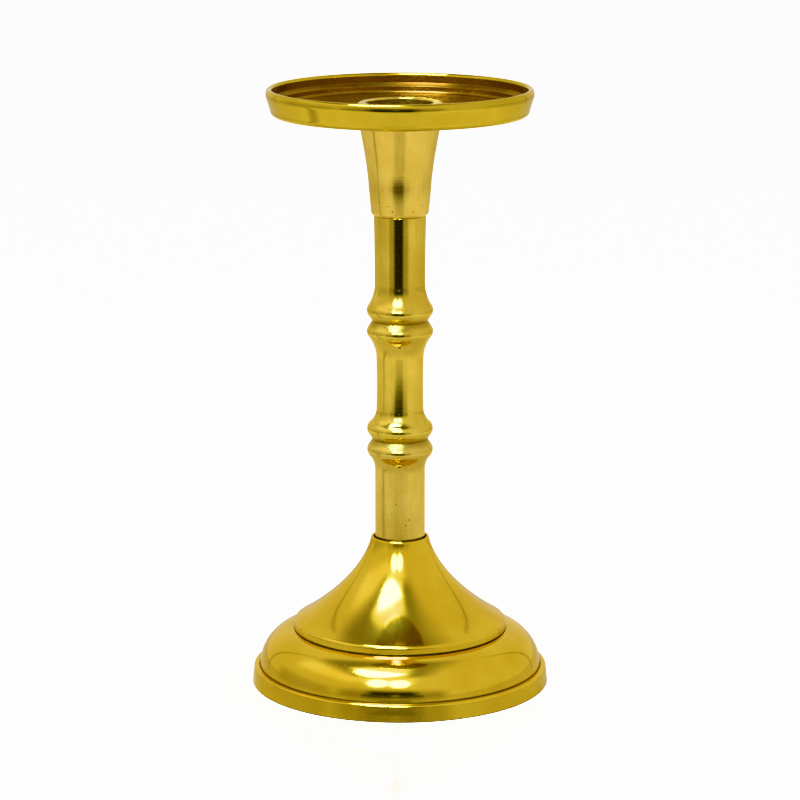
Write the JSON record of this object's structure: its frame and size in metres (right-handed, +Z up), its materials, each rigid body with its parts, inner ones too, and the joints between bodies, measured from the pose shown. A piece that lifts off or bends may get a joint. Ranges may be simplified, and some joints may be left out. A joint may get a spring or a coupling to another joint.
{
  "type": "pillar candlestick",
  "caption": "Turned brass candlestick: a shallow dish for a pillar candle round a taper socket, on a flared cup, a beaded stem and a hollow bell base.",
  "frame": {"origin": "On the axis of turning, in the plane of the foot's underside.", "axes": "+Z up along the axis of turning; +X to the picture's right and +Y away from its camera."},
  "size_m": [0.1, 0.1, 0.2009],
  "materials": {
    "polished_brass": "polished and lacquered",
    "satin_brass": "turned, lightly satin, lacquered",
    "zinc_steel": "zinc plated"
  },
  "bodies": {
    "root": {"base_shell": "polished_brass", "stem_lower": "satin_brass", "stem_middle": "satin_brass", "stem_upper": "satin_brass", "candle_cup": "satin_brass", "dish": "polished_brass", "tie_rod": "zinc_steel", "cup_nut": "zinc_steel", "base_washer": "zinc_steel", "lock_washer": "zinc_steel", "base_nut": "zinc_steel"}
  },
  "joints": []
}
